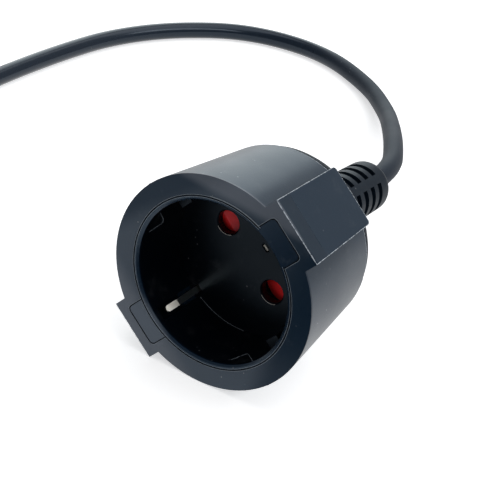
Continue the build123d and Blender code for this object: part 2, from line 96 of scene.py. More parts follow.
# Sizes of the socket's solids in millimetres, as the part's source has them
MOUTH_RADIUS = 26.0
BODY_LENGTH = 31.1
BODY_TAPER = 3.1
LUG_TOP = 28.4
LUG_LENGTH = 24.6
LUG_BACK_HALF = 7.5
UPPER_LUG_HALF = 8.0
LOWER_LUG_HALF = 7.4
PIN_PLACES = (-9.5, 9.5)
TAB_PLACE = 16.4

# How far the beads' middles lie inside the edges that they follow, in millimetres
EDGE_INSET = 0.09

# Rings along the insert's seam: radius and depth in millimetres, and the angles round the axis where it runs.
# The gap's ring carries a dark bead of painted shadow, the rims and the bright arc pale beads of painted
# highlight
SEAM_GAP_RING = (20.93, -0.02, 104, 436)
SEAM_RIM_RINGS = ((21.17, 0.02, 104, 436), (20.68, 0.02, 103, 437))
SEAM_HIGHLIGHT_RING = (21.26, 0.0, 103, 140)

# Lines round the tongues in millimetres: half the width of the seam's gap and of the rim beside it, how far
# their tops lie beyond that, their foot on the ring and their rounded corner
# The gap's line carries painted shadow, the rim's line painted highlight
TONGUE_GAP_HALF = 5.17
TONGUE_RIM_HALF = 5.38
TONGUE_TOP = 20.3
TONGUE_FOOT = 20.5
TONGUE_CORNER = 1.0

# Lines of flash: the ring at the drum's rear edge, how far in its sides' parting lies, and the two nubs as
# the side and the height where each stands. Then the ends of the step on the lug's top, across and in depth
DRUM_EDGE_RING = (22.83, 31.05, 0, 360)
PARTING_INSET = 0.03
NUB_INSET = 0.3
NUB_PLACES = ((-1, 0.4), (1, -1.5))
LUG_STEP_ENDS = ((-7.6, 5.0), (7.5, 4.7))

# Painted highlights on fine edges in the well, as rings too: its floor's corner where light finds it, and a
# pin hole's lower rim
FLOOR_EDGE_RING = (19.75, 16.72, -84, -44)
HOLE_RIM_RING = (3.1, 16.72, 258, 338)

# Painted highlights along the edges of the shallow keys on the well's wall, as angles round the axis and
# depths in millimetres
WALL_KEY_RADIUS = 19.8
WALL_KEY_LEFT = ((-150.6, 3.0), (-152.0, 7.8), (-155.5, 7.6), (-168.0, 3.3))
WALL_KEY_RIGHT = ((-28.5, 3.0), (-23.0, 6.6), (-20.0, 6.1), (-6.0, 0.8))

# Where the looks change over the mouldings and the flex, in millimetres, each from none to all
WELL_DEPTHS = (0.35, 1.1)
FACE_DEPTHS = (0.3, 0.8)
RELIEF_DEPTHS = (31.6, 36.0)
LUG_BAND_DEPTHS = (4.7, 5.0)
LUG_TOP_HEIGHTS = (28.0, 28.2)
HANDLED_FLEX_REACH = (-88, -62)

# Shares of the soft moulding's colour that are left where it is darker: painted shade on the strain relief
# and on the rounded back, and a darker band on the lug's top
RELIEF_SHADE_SHARE = 0.45
BAND_SHARE = 0.78
BACK_SKIN_SHADE_SHARE = 0.4

# Sides of the mouth's face, as an angle round the axis and the two distances that way, in millimetres. The
# first three take a paler colour as painted sheen, the last two reflect less as painted shade
LOW_LUG_SIDE = (-90, 18, 24)
LOW_TONGUE_SIDE = (-90, 19, 20.5)
SHEEN_SIDE = (125, 20.8, 23.4)
SHADED_SIDE = (170, 17, 23)
DARKEST_SIDE = (32, 15, 22)

# Where the mirrored floor finds less light, in millimetres, each from none to all, and how much less
FLOOR_SHADE_ACROSS = (-40, -27)
FLOOR_SHADE_ENDS = (-66, -54)
FLOOR_FAR_ACROSS = (30, 200)
FLOOR_SHADE_DEPTH = 0.97
FLOOR_FAR_DEPTH = 0.65

# The floor's half width in metres, and how far below the object it lies in millimetres
FLOOR_REACH = 4.0
FLOOR_DROP = 0.1

# Between these heights of a ray's Y, the room behind the camera gives way to the wall behind the object
WALL_TURN = (-0.6, 0.5)

# Each lamp's place, the point that it faces, its width and its height, in metres
LAMPS = {
    "key_light": ((0.15, 0.25, 1.1), (0.0, 0.0, 0.0), 1.3, 1.3),
    "window_light": ((-0.61, 0.97, 0.42), (0.0, 0.0, 0.03), 0.84, 0.84),
    "side_light": ((0.72, -0.08, 0.7), (-0.05, 0.03, 0.02), 1.3, 0.2),
}

# The photograph's camera: where it stood in millimetres, and where its right side, foot and view point
CAMERA_PLACE = (131.37, -269.20, 185.17)
CAMERA_RIGHT = (0.8361, 0.5314, 0.1363)
CAMERA_DOWN = (0.3649, -0.3533, -0.8614)
CAMERA_FORWARD = (-0.4096, 0.7700, -0.4893)

# The turned skin of the socket's back: depths and radii in millimetres, out along its outside and back inside
BACK_SKIN_OUTSIDE = (
    (31.12, 22.45),
    (32.2, 22.35),
    (34.0, 21.75),
    (36.0, 20.6),
    (38.0, 19.0),
    (39.6, 17.2),
    (41.2, 14.7),
)
BACK_SKIN_INSIDE = ((41.4, 13.6), (39.4, 16.2), (37.0, 18.6), (34.0, 20.7), (31.12, 21.9))


def socket_point(across, up, depth):
    """A point of the socket from millimetres across it, up its lug and into its mouth."""
    return MOUTH + (ACROSS * across + UP_THE_LUG * up + Vector((0, depth, 0))) * MM


def linear(red, green, blue):
    """A colour in the shader's linear values, from the 0 to 255 values of a screen."""
    return tuple(
        value / 255 / 12.92 if value <= 10 else ((value / 255 + 0.055) / 1.055) ** 2.4
        for value in (red, green, blue)
    )


# ---------------------------------------------------------------- sizes and colours


def color_property(name, description, screen_color):
    """A colour that a user can change, with its default in a screen's 0 to 255 values."""
    return bpy.props.FloatVectorProperty(
        name=name,
        description=description,
        subtype="COLOR",
        size=3,
        min=0.0,
        max=1.0,
        default=linear(*screen_color),
    )


def share_property(name, description, default):
    """A number from 0 to 1 that a user can change."""
    return bpy.props.FloatProperty(
        name=name, description=description, subtype="FACTOR", min=0.0, max=1.0, default=default
    )


def length_property(name, description, millimetres):
    """A length that a user can change, with its default in millimetres."""
    return bpy.props.FloatProperty(
        name=name,
        description=description,
        subtype="DISTANCE",
        unit="LENGTH",
        min=0.0,
        default=millimetres * MM,
    )


def power_property(name, description, watts):
    """The power of a lamp that a user can change."""
    return bpy.props.FloatProperty(name=name, description=description, unit="POWER", min=0.0, default=watts)


class MouldingLook(bpy.types.PropertyGroup):
    """Finish of the socket's and the plug's mouldings."""

    soft_color: color_property("Soft moulding", "Colour of the soft outer mouldings", (13, 35, 53))
    soft_roughness: share_property("Soft roughness", "Roughness of the soft mouldings", 0.33)
    hard_color: color_property("Hard moulding", "Colour of the insert and the blade carrier", (12, 31, 49))
    # Painted shade: the insert's colour inside the well, darkened where the well shades it; the seam's dark
    # bead of painted shadow takes this colour too
    well_shade_color: color_property("Well", "Colour of the insert inside the well", (1, 4, 12))
    # Painted sheen: a paler colour where light falls brighter on sides of the mouth's face
    face_sheen_color: color_property("Scuffed", "Colour of the scuffed sides of the mouth's face", (80, 86, 96))
    hard_roughness: share_property("Hard roughness", "Roughness of the hard mouldings", 0.27)
    grain: length_property("Grain", "Size of the grain in the mouldings' surface", 0.16)
    # Flash: pale partly in its own colour and partly as a painted highlight of the edges it runs along
    flash_highlight_color: color_property("Flash", "Colour of the flash at the mould's parting", (184, 192, 200))
    flash_radius: length_property("Flash radius", "Half the thickness of the flash along an edge", 0.14)
    # Painted highlight: the pale rims beside the seam and along fine edges in the well stand in for the light
    # those edges catch
    rim_color: color_property("Rim wear", "Colour of the rubbed rims beside the seam", (132, 141, 149))
    # Painted highlight: the pale beads at the pin holes' lower rims and on the earth tab stand in for the
    # light that they catch
    glint_color: color_property("Burr", "Colour of the pale burrs in the well", (226, 224, 217))
    rim_radius: length_property("Rim radius", "Half the width of the rubbed rims", 0.085)


class ShutterLook(bpy.types.PropertyGroup):
    """Finish of the safety shutter and its spring."""

    red: color_property("Shutter", "Colour of the safety shutter", (255, 50, 52))
    roughness: share_property("Roughness", "Roughness of the safety shutter", 0.33)
    steel: color_property("Spring", "Colour of the return spring's wire", (176, 178, 180))


class MetalLook(bpy.types.PropertyGroup):
    """Finish of the contacts, the blades and the cores."""

    brass: color_property("Brass", "Colour of the pin contacts", (196, 160, 92))
    nickel: color_property("Nickel", "Colour of the plated earth strap and blades", (240, 237, 228))
    live: color_property("Live core", "Insulation of the live core", (112, 64, 38))
    neutral: color_property("Neutral core", "Insulation of the neutral core", (52, 110, 176))
    earth_green: color_property("Earth green", "Green of the earth core's insulation", (60, 130, 56))
    earth_yellow: color_property("Earth yellow", "Yellow of the earth core's insulation", (214, 196, 58))
    carrier: color_property("Carrier", "Colour of the contact carrier", (96, 99, 102))


class FlexLook(bpy.types.PropertyGroup):
    """Size and finish of the flex."""

    diameter: length_property("Diameter", "Diameter over the sheath", 5.8)
    length: length_property("Length", "Length between the two strain reliefs", 497.2)
    color: color_property("Sheath", "Colour of the sheath", (16, 28, 42))
    roughness: share_property("Roughness", "Roughness of the sheath", 0.2)


class StudioLook(bpy.types.PropertyGroup):
    """Floor, light and camera."""

    floor: color_property("Floor", "Colour of the floor", (236, 237, 239))
    floor_glow: share_property("Floor glow", "Light that the floor adds for the camera alone", 0.6)
    key_power: power_property("Key light", "Power of the large overhead light", 5.6)
    window_power: power_property("Window", "Power of the window behind, to the left", 2.9)
    window_color: color_property("Window colour", "Colour of the light from the window", (243, 254, 255))
    side_power: power_property("Side light", "Power of the long lamp to the right", 3.0)
    back_wall: share_property("Back wall", "Brightness of the wall behind the object", 0.45)
    front_wall: share_property("Front wall", "Brightness of the room behind the camera", 0.22)
    lens: bpy.props.FloatProperty(
        name="Lens", description="Focal length of the camera", unit="CAMERA", min=10.0, default=100.25
    )


LOOKS = {
    "adapter_moulding": MouldingLook,
    "adapter_shutter": ShutterLook,
    "adapter_metal": MetalLook,
    "adapter_flex": FlexLook,
    "adapter_studio": StudioLook,
}


# ---------------------------------------------------------------- shared shader groups


# The grain's coarser layer, as shares of the fine one's scale and height, and the slow drift of the sheen
COARSE_SCALE = 0.22
COARSE_HEIGHT = 0.8
DRIFT_SCALE = 70.0
DRIFT_DEPTH = 0.16

# Specks of dust: their spacing, their size, and the patches that they gather in. Then the rubbed streaks
SPECK_SCALE = 420.0
SPECK_EDGE = (0.05, 0.11)
SPECK_PATCH_SCALE = 90.0
SPECK_PATCH_EDGE = (0.53, 0.62)
STREAK_SCALE = 160.0
STREAK_EDGE = (0.55, 0.8)
DUST_PALENESS = 0.42


def new_group(name, inputs, outputs):
    """An empty shader node group with named number or colour sockets."""
    tree = bpy.data.node_groups.new(name, "ShaderNodeTree")
    tree.interface.new_socket(name="Place", in_out="INPUT", socket_type="NodeSocketVector")
    for label, kind, default in inputs:
        socket = tree.interface.new_socket(name=label, in_out="INPUT", socket_type=kind)
        socket.default_value = default
    for label, kind in outputs:
        tree.interface.new_socket(name=label, in_out="OUTPUT", socket_type=kind)
    entry = tree.nodes.new("NodeGroupInput")
    leave = tree.nodes.new("NodeGroupOutput")
    return tree, entry.outputs, leave.inputs


def math_node(tree, operation, first, second):
    """A Math node whose two inputs are sockets or numbers. Returns its output."""
    made = tree.nodes.new("ShaderNodeMath")
    made.operation = operation
    for index, value in enumerate((first, second)):
        if isinstance(value, bpy.types.NodeSocket):
            tree.links.new(value, made.inputs[index])
        else:
            made.inputs[index].default_value = value
    return made.outputs[0]


def noise_node(tree, place, scale, detail=2.0, roughness=0.5):
    """A Noise texture at a scale that is a socket or a number. Returns its factor."""
    made = tree.nodes.new("ShaderNodeTexNoise")
    made.inputs["Detail"].default_value = detail
    made.inputs["Roughness"].default_value = roughness
    tree.links.new(place, made.inputs["Vector"])
    if isinstance(scale, bpy.types.NodeSocket):
        tree.links.new(scale, made.inputs["Scale"])
    else:
        made.inputs["Scale"].default_value = scale
    return made.outputs["Fac"]


def ramp_node(tree, factor, low, high):
    """A smooth step of a factor from 0 at low to 1 at high. Returns its output."""
    made = tree.nodes.new("ShaderNodeMapRange")
    made.interpolation_type = "SMOOTHSTEP"
    made.inputs["From Min"].default_value = low
    made.inputs["From Max"].default_value = high
    tree.links.new(factor, made.inputs["Value"])
    return made.outputs["Result"]


def make_grain_group():
    """Fine sandblasted grain of a mould, with slow drifts of sheen over it."""
    tree, entry, leave = new_group(
        "moulded_grain",
        [("Grain", "NodeSocketFloat", 0.16 * MM), ("Roughness", "NodeSocketFloat", 0.45)],
        [("Height", "NodeSocketFloat"), ("Roughness", "NodeSocketFloat")],
    )
    scale = math_node(tree, "DIVIDE", 1.0, entry["Grain"])
    fine = noise_node(tree, entry["Place"], scale, 1.0)
    coarse = noise_node(tree, entry["Place"], math_node(tree, "MULTIPLY", scale, COARSE_SCALE), 2.0)
    relief = math_node(tree, "ADD", fine, math_node(tree, "MULTIPLY", coarse, COARSE_HEIGHT))
    tree.links.new(relief, leave["Height"])
    drift = noise_node(tree, entry["Place"], DRIFT_SCALE, 3.0)
    shift = math_node(tree, "MULTIPLY", math_node(tree, "SUBTRACT", drift, 0.5), DRIFT_DEPTH)
    tree.links.new(math_node(tree, "ADD", entry["Roughness"], shift), leave["Roughness"])
    return tree


def make_dust_group():
    """Sparse specks of dust and a few rubbed patches, as one mask."""
    tree, entry, leave = new_group(
        "dust_and_rub",
        [("Specks", "NodeSocketFloat", 0.5), ("Rub", "NodeSocketFloat", 0.2)],
        [("Mask", "NodeSocketFloat")],
    )
    cells = tree.nodes.new("ShaderNodeTexVoronoi")
    cells.inputs["Scale"].default_value = SPECK_SCALE
    tree.links.new(entry["Place"], cells.inputs["Vector"])
    speck = math_node(tree, "SUBTRACT", 1.0, ramp_node(tree, cells.outputs["Distance"], *SPECK_EDGE))
    gate = ramp_node(tree, noise_node(tree, entry["Place"], SPECK_PATCH_SCALE, 2.0), *SPECK_PATCH_EDGE)
    specks = math_node(tree, "MULTIPLY", math_node(tree, "MULTIPLY", speck, gate), entry["Specks"])
    streak = ramp_node(tree, noise_node(tree, entry["Place"], STREAK_SCALE, 6.0, 0.7), *STREAK_EDGE)
    rubbed = math_node(tree, "MULTIPLY", streak, entry["Rub"])
    tree.links.new(math_node(tree, "MAXIMUM", specks, rubbed), leave["Mask"])
    return tree


shader_groups = {}


def shader_group(name):
    """One of the shared groups, built the first time that a material asks for it."""
    makers = {"grain": make_grain_group, "dust": make_dust_group}
    if name not in shader_groups:
        shader_groups[name] = makers[name]()
    return shader_groups[name]


# ---------------------------------------------------------------- materials


def new_material(name, color, roughness, metallic=0.0, specular=0.5):
    """A material with a Principled shader. Returns it, its node tree, its shader and its coordinates."""
    material = bpy.data.materials.new(name)
    material.use_nodes = True
    material.diffuse_color = (*color, 1.0)
    tree = material.node_tree
    shader = tree.nodes["Principled BSDF"]
    shader.inputs["Base Color"].default_value = (*color, 1.0)
    shader.inputs["Roughness"].default_value = roughness
    shader.inputs["Metallic"].default_value = metallic
    shader.inputs["Specular IOR Level"].default_value = specular
    place = tree.nodes.new("ShaderNodeTexCoord").outputs["Object"]
    return material, tree, shader, place


def place_group(tree, place, name, **values):
    """A shared group in a material's tree, with its own values. Returns its outputs."""
    made = tree.nodes.new("ShaderNodeGroup")
    made.node_tree = shader_group(name)
    tree.links.new(place, made.inputs["Place"])
    for key, value in values.items():
        made.inputs[key.capitalize()].default_value = value
    return made.outputs


def bump(tree, shader, height, distance, strength=1.0):
    """Join a height to the shader's normal."""
    made = tree.nodes.new("ShaderNodeBump")
    made.inputs["Distance"].default_value = distance
    made.inputs["Strength"].default_value = strength
    tree.links.new(height, made.inputs["Height"])
    tree.links.new(made.outputs["Normal"], shader.inputs["Normal"])


def mix_color(tree, factor, first, second):
    """A colour between two, by a factor socket. Each colour is a socket or three numbers."""
    made = tree.nodes.new("ShaderNodeMix")
    made.data_type = "RGBA"
    tree.links.new(factor, made.inputs["Factor"])
    for name, value in (("A", first), ("B", second)):
        socket = next(s for s in made.inputs if s.name == name and s.type == "RGBA")
        if isinstance(value, bpy.types.NodeSocket):
            tree.links.new(value, socket)
        else:
            socket.default_value = (*value, 1.0)
    return next(s for s in made.outputs if s.type == "RGBA")


def lighter(color, share):
    """A colour moved towards a pale grey by a share."""
    return tuple(value + (0.55 - value) * share for value in color)


def darker(color, share):
    """A colour brought down to a share of itself."""
    return tuple(value * share for value in color)


def moulded_plastic(
    name,
    color,
    roughness,
    grain,
    specks=0.5,
    rub=0.12,
    bump_distance=0.02 * MM,
    specular=0.5,
    tint=(0.74, 0.86, 1.0),
    zones=(),
    dull_zones=(),
    faint_zones=(),
):
    """Moulded plastic with a fine grain, drifts of sheen, a little dust and rubbed patches.

    Each zone is a function that makes a mask in the tree, and the colour inside that mask. Each dull zone is
    such a function and how much rougher the plastic is there. A faint zone is such a function and how much
    less the plastic reflects there.
    """
    material, tree, shader, place = new_material(name, color, roughness, specular=specular)
    shader.inputs["Specular Tint"].default_value = (*tint, 1.0)
    surface = place_group(tree, place, "grain", grain=grain, roughness=roughness)
    dust = place_group(tree, place, "dust", specks=specks, rub=rub)
    rough = surface["Roughness"]
    for make_mask, more in dull_zones:
        rough = math_node(tree, "ADD", rough, math_node(tree, "MULTIPLY", make_mask(tree, place), more))
    tree.links.new(rough, shader.inputs["Roughness"])
    shine = specular
    for make_mask, less in faint_zones:
        shine = math_node(tree, "SUBTRACT", shine, math_node(tree, "MULTIPLY", make_mask(tree, place), less))
    if faint_zones:
        tree.links.new(shine, shader.inputs["Specular IOR Level"])
    plain = color
    for make_mask, zone_color in zones:
        plain = mix_color(tree, make_mask(tree, place), plain, zone_color)
    dusty = mix_color(tree, dust["Mask"], plain, lighter(color, DUST_PALENESS))
    tree.links.new(dusty, shader.inputs["Base Color"])
    bump(tree, shader, surface["Height"], bump_distance, 0.5)
    return material


def axis_ramp(tree, place, axis, low, high):
    """A mask that goes from 0 to 1 between two places along an axis, in millimetres."""
    split = tree.nodes.new("ShaderNodeSeparateXYZ")
    tree.links.new(place, split.inputs[0])
    return ramp_node(tree, split.outputs[axis], low * MM, high * MM)


def side_ramp(tree, place, toward, low, high):
    """A mask that goes from 0 to 1 between two distances from the socket's axis, that way, in millimetres."""
    reach = tree.nodes.new("ShaderNodeVectorMath")
    reach.operation = "DOT_PRODUCT"
    reach.inputs[1].default_value = toward
    tree.links.new(place, reach.inputs[0])
    level = toward.dot(MOUTH)
    return ramp_node(tree, reach.outputs["Value"], level + low * MM, level + high * MM)


def depth_mask(tree, place, shallow, deep):
    """A mask that goes from 0 to 1 between two depths in the socket's mouth, in millimetres."""
    front = MOUTH.y / MM
    return axis_ramp(tree, place, "Y", front + shallow, front + deep)


def well_mask(tree, place):
    """The inside of the well, behind its rim."""
    return depth_mask(tree, place, *WELL_DEPTHS)


def face_mask(angle, inner, outer):
    """A maker of the mask of one side of the mouth's face, from 0 to 1 between two distances that way."""
    turn = math.radians(angle)
    toward = ACROSS * math.cos(turn) + UP_THE_LUG * math.sin(turn)

    def make(tree, place):
        """The mask in a material's tree."""
        on_side = side_ramp(tree, place, toward, inner, outer)
        on_face = math_node(tree, "SUBTRACT", 1.0, depth_mask(tree, place, *FACE_DEPTHS))
        return math_node(tree, "MULTIPLY", on_side, on_face)

    return make


def handled_flex_mask(tree, place):
    """The end of the flex near the socket, dull from handling."""
    return axis_ramp(tree, place, "X", *HANDLED_FLEX_REACH)


def back_shade_mask(tree, place):
    """The socket's rounded back and its strain relief, darker as painted shade where they face away from the
    light.
    """
    return depth_mask(tree, place, *RELIEF_DEPTHS)


def lug_band_mask(tree, place):
    """The darker band across the front of the upper lug's top."""
    on_top = side_ramp(tree, place, UP_THE_LUG, *LUG_TOP_HEIGHTS)
    in_front = math_node(tree, "SUBTRACT", 1.0, depth_mask(tree, place, *LUG_BAND_DEPTHS))
    return math_node(tree, "MULTIPLY", on_top, in_front)


def drawn_metal(name, color, roughness, grain=0.05 * MM, relief=0.004 * MM):
    """Plated or bare strip with faint scratches."""
    material, tree, shader, place = new_material(name, color, roughness, metallic=1.0)
    surface = place_group(tree, place, "grain", grain=grain, roughness=roughness)
    tree.links.new(surface["Roughness"], shader.inputs["Roughness"])
    stain = ramp_node(tree, noise_node(tree, place, 350.0, 4.0), 0.5, 0.85)
    tree.links.new(mix_color(tree, stain, color, darker(color, 0.72)), shader.inputs["Base Color"])
    bump(tree, shader, surface["Height"], relief, 0.4)
    return material


def striped_insulation(name, color, stripe_color, roughness=0.4):
    """Insulation of two colours in long stripes."""
    material, tree, shader, place = new_material(name, color, roughness)
    wave = tree.nodes.new("ShaderNodeTexWave")
    wave.bands_direction = "X"
    wave.inputs["Scale"].default_value = 150.0
    tree.links.new(place, wave.inputs["Vector"])
    stripe = ramp_node(tree, wave.outputs["Fac"], 0.45, 0.55)
    tree.links.new(mix_color(tree, stripe, color, stripe_color), shader.inputs["Base Color"])
    bump(tree, shader, noise_node(tree, place, 900.0), 0.01 * MM, 0.3)
    return material


def dress(node_name, material):
    """Give a node of the frame its material."""
    piece = nodes[node_name]
    piece.data.materials.clear()
    piece.data.materials.append(material)
    for polygon in piece.data.polygons:
        polygon.material_index = 0


# ---------------------------------------------------------------- pieces made of curves and paths


def plain_object(name, mesh):
    """A mesh object at the origin, in the scene."""
    piece = bpy.data.objects.new(name, mesh)
    bpy.context.scene.collection.objects.link(piece)
    return piece


def path_mesh(name, paths):
    """A mesh of edges alone, one chain of points for each path. A closed path repeats its first point."""
    points = []
    edges = []
    for path in paths:
        start = len(points)
        closed = (Vector(path[0]) - Vector(path[-1])).length < 1e-9
        kept = path[:-1] if closed else path
        points += [tuple(point) for point in kept]
        edges += [(start + index, start + index + 1) for index in range(len(kept) - 1)]
        if closed:
            edges.append((start + len(kept) - 1, start))
    mesh = bpy.data.meshes.new(name)
    mesh.from_pydata(points, edges, [])
    return mesh


def ring_path(radius, depth, start, end, across=0.0):
    """Points round the socket's axis, or round a line beside it, from one angle to another in degrees."""
    count = max(4, round((end - start) / 4))
    points = []
    for index in range(count + 1):
        angle = math.radians(start + (end - start) * index / count)
        points.append(socket_point(across + radius * math.cos(angle), radius * math.sin(angle), depth))
    if end - start == 360:
        points[-1] = points[0]
    return points


def wall_path(places):
    """Points on the well's wall, from pairs of an angle in degrees and a depth."""
    return [ring_path(WALL_KEY_RADIUS, depth, angle, angle)[0] for angle, depth in places]


def turned_shell(name, outside, inside, steps=96):
    """A closed shell of revolution round the socket's axis, from pairs of a depth and a radius."""
    section = [*outside, *inside]
    shell = bmesh.new()
    rings = []
    for index in range(steps):
        angle = 2 * math.pi * index / steps
        rings.append(
            [
                shell.verts.new(socket_point(radius * math.cos(angle), radius * math.sin(angle), depth))
                for depth, radius in section
            ]
        )
    for ring, following in zip(rings, rings[1:] + rings[:1]):
        for near in range(len(section)):
            far = (near + 1) % len(section)
            shell.faces.new((ring[near], ring[far], following[far], following[near])).smooth = True
    bmesh.ops.recalc_face_normals(shell, faces=shell.faces)
    mesh = bpy.data.meshes.new(name)
    shell.to_mesh(mesh)
    shell.free()
    return plain_object(name, mesh)


def merge_corners(mesh):
    """Join the loose triangles of a copied mesh where their corners meet."""
    whole = bmesh.new()
    whole.from_mesh(mesh)
    bmesh.ops.remove_doubles(whole, verts=whole.verts, dist=0.001 * MM)
    bmesh.ops.recalc_face_normals(whole, faces=whole.faces)
    whole.to_mesh(mesh)
    whole.free()


def both_sides(half):
    """A symmetric outline from its half, as pairs of a distance across and another number."""
    return [*half, *((-across, along) for across, along in reversed(half))]


def lug_edge(side, half_front):
    """The closed edge of a lug's top, a little inside its rounded corner."""
    top = side * (LUG_TOP - EDGE_INSET)
    front = half_front - EDGE_INSET
    back = LUG_BACK_HALF - EDGE_INSET
    end = LUG_LENGTH - EDGE_INSET
    outline = both_sides(
        [(front, EDGE_INSET), (back, end - 0.81), (back - 0.25, end - 0.31), (back - 0.8, end)]
    )
    return [socket_point(across, top, depth) for across, depth in [*outline, outline[0]]]


def tongue_path(side, half):
    """A line round one of the insert's two tongues, at half its width from the tongue's middle."""
    top = half + TONGUE_TOP
    cut = TONGUE_CORNER * 0.3
    side_end = (half, top - TONGUE_CORNER)
    top_end = (half - TONGUE_CORNER, top)
    outline = both_sides([(half, TONGUE_FOOT), side_end, (half - cut, top - cut), top_end])
    return [socket_point(across, side * up, 0.0) for across, up in outline]


def flash_tree():
    """Geometry nodes for a thin uneven bead of flash along each path of a mesh of edges."""
    if "flash_bead" in bpy.data.node_groups:
        return bpy.data.node_groups["flash_bead"]
    tree = bpy.data.node_groups.new("flash_bead", "GeometryNodeTree")
    tree.interface.new_socket(name="Geometry", in_out="INPUT", socket_type="NodeSocketGeometry")
    for label, kind, default in (
        ("Radius", "NodeSocketFloat", 0.085 * MM),
        ("Unevenness", "NodeSocketFloat", 0.7),
        ("Step", "NodeSocketFloat", 0.35 * MM),
        ("Seed", "NodeSocketInt", 3),
    ):
        tree.interface.new_socket(name=label, in_out="INPUT", socket_type=kind).default_value = default
    tree.interface.new_socket(name="Material", in_out="INPUT", socket_type="NodeSocketMaterial")
    tree.interface.new_socket(name="Geometry", in_out="OUTPUT", socket_type="NodeSocketGeometry")
    make, join = tree.nodes.new, tree.links.new
    entry, leave = make("NodeGroupInput"), make("NodeGroupOutput")
    to_curve, resample = make("GeometryNodeMeshToCurve"), make("GeometryNodeResampleCurve")
    resample.mode = "LENGTH"
    least, wander = make("ShaderNodeMath"), make("FunctionNodeRandomValue")
    least.operation = "SUBTRACT"
    least.inputs[0].default_value = 1.0
    wander.data_type = "FLOAT"
    numbers = [socket for socket in wander.inputs if socket.type == "VALUE"]
    numbers[1].default_value = 1.0
    thickness = next(socket for socket in wander.outputs if socket.type == "VALUE")
    profile, sweep = make("GeometryNodeCurvePrimitiveCircle"), make("GeometryNodeCurveToMesh")
    profile.inputs["Resolution"].default_value = 6
    sweep.inputs["Fill Caps"].default_value = True
    smooth = make("GeometryNodeSetShadeSmooth")
    realize, paint = make("GeometryNodeRealizeInstances"), make("GeometryNodeSetMaterial")
    join(entry.outputs["Geometry"], to_curve.inputs[0])
    join(to_curve.outputs[0], resample.inputs["Curve"])
    join(entry.outputs["Step"], resample.inputs["Length"])
    join(entry.outputs["Unevenness"], least.inputs[1])
    join(least.outputs[0], numbers[0])
    join(entry.outputs["Seed"], wander.inputs["Seed"])
    join(entry.outputs["Radius"], profile.inputs["Radius"])
    join(resample.outputs[0], sweep.inputs["Curve"])
    join(profile.outputs["Curve"], sweep.inputs["Profile Curve"])
    join(thickness, sweep.inputs["Scale"])
    join(sweep.outputs[0], smooth.inputs[0])
    join(smooth.outputs[0], realize.inputs[0])
    join(realize.outputs[0], paint.inputs["Geometry"])
    join(entry.outputs["Material"], paint.inputs["Material"])
    join(paint.outputs[0], leave.inputs[0])
    return tree


def grow(name, paths, slot, tree, **values):
    """Run a geometry nodes tree along paths, and keep its result as a plain mesh that rides on the cable."""
    seed_piece = plain_object(name + "_paths", path_mesh(name + "_paths", paths))
    modifier = seed_piece.modifiers.new("grow", "NODES")
    modifier.node_group = tree
    for item in tree.interface.items_tree:
        key = item.name.lower()
        if item.item_type == "SOCKET" and item.in_out == "INPUT" and key in values:
            modifier[item.identifier] = values[key]
    evaluated = seed_piece.evaluated_get(bpy.context.evaluated_depsgraph_get())
    grown = bpy.data.meshes.new_from_object(evaluated)
    bpy.data.objects.remove(seed_piece)
    grown.name = name
    piece = plain_object(name, grown)
    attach(piece, "cable")


def flex_curve(name, route, diameter):
    """The flex as one smooth line with a round section."""
    curve = bpy.data.curves.new(name, "CURVE")
    curve.dimensions = "3D"
    line = curve.splines.new("NURBS")
    line.points.add(len(route) - 1)
    for point, place in zip(line.points, route):
        point.co = (*place, 1.0)
    line.order_u = 3
    line.use_endpoint_u = True
    line.resolution_u = 14
    line.use_smooth = True
    curve.bevel_depth = diameter / 2
    curve.bevel_resolution = 7
    curve.use_fill_caps = True
    piece = bpy.data.objects.new(name, curve)
    bpy.context.scene.collection.objects.link(piece)
    return piece


# ---------------------------------------------------------------- operators


class ADAPTER_OT_flex(bpy.types.Operator):
    """Lay the flex along its route and give it its sheath."""

    bl_idname = "adapter.flex"
    bl_label = "Flex"

    def execute(self, context):
        """Make the flex in the place of its plain solid."""
        look = context.scene.adapter_flex
        route = [Vector(point) * MM for point in FLEX_ROUTE_MM]
        flex = flex_curve("flex", route, look.diameter)
        sheath = moulded_plastic(
            "flex_sheath",
            tuple(look.color),
            look.roughness,
            0.3 * MM,
            specks=0.35,
            rub=0.05,
            bump_distance=0.012 * MM,
            dull_zones=((handled_flex_mask, 0.42),),
        )
        flex.data.materials.append(sheath)
        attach(flex, "cable")
        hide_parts("flex_cord")
        return {"FINISHED"}


